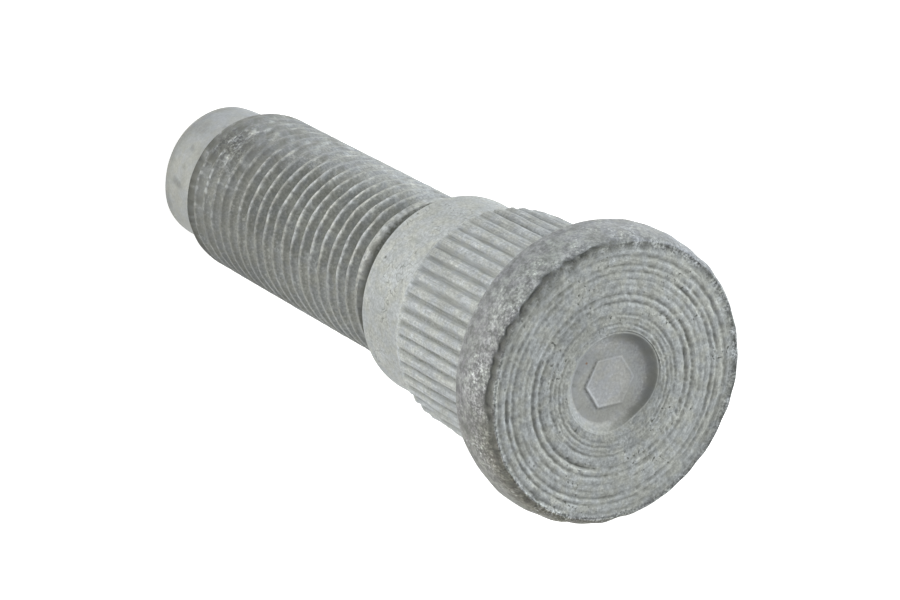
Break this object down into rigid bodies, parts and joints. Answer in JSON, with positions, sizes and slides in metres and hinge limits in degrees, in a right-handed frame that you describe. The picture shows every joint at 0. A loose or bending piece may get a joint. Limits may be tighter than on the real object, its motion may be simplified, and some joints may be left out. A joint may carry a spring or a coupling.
{
  "type": "wheel stud",
  "caption": "Press-in wheel stud with a round turned head, a straight-ribbed knurl, a plain collar, a fine thread and a smooth pilot end.",
  "frame": {"origin": "centre of the pilot's end face, on the stud's axis", "axes": "+Z along the stud's axis from the pilot's end to the head; the stud is round about it, so +X and +Y only fix the turn of the ribs and of the hexagon mark"},
  "size_m": [0.0236, 0.0236, 0.0607],
  "materials": {
    "coated_steel": "matte grey zinc-flake coating, unpolished"
  },
  "bodies": {
    "root": {"wheel_stud": "coated_steel"}
  },
  "joints": []
}
